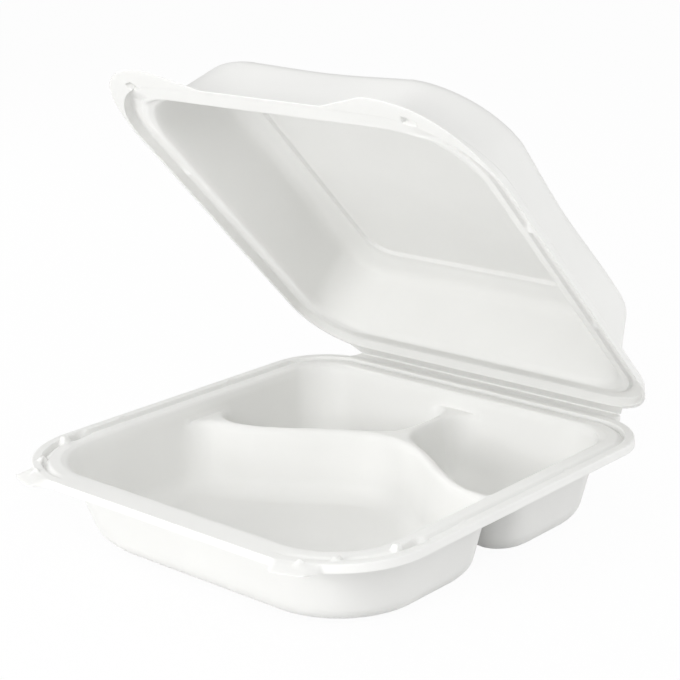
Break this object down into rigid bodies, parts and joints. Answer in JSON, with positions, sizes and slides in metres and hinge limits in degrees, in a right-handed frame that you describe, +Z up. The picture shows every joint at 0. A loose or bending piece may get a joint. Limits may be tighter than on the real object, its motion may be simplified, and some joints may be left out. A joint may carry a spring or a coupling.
{
  "type": "hinged food container",
  "caption": "Takeaway food container formed from one plastic sheet: a divided tray with rounded corners and a domed lid that folds over it along one edge.",
  "frame": {"origin": "middle of the tray in plan, on the surface that it stands on", "axes": "+Z up, +Y from the front towards the fold line, +X along the fold line, to the right seen from the front"},
  "size_m": [0.226, 0.2571, 0.2251],
  "materials": {
    "formed_sheet": "satin, formed from white mineral-filled polypropylene sheet"
  },
  "bodies": {
    "tray": {"tray": "formed_sheet"},
    "lid": {"lid": "formed_sheet"}
  },
  "joints": [
    {"name": "lid_fold", "type": "hinge", "parent": "tray", "child": "lid", "pos_m": [0, 0.1245, 0.0442], "axis": [-1, 0, 0], "range_deg": [-45.4, 132.6]}
  ]
}
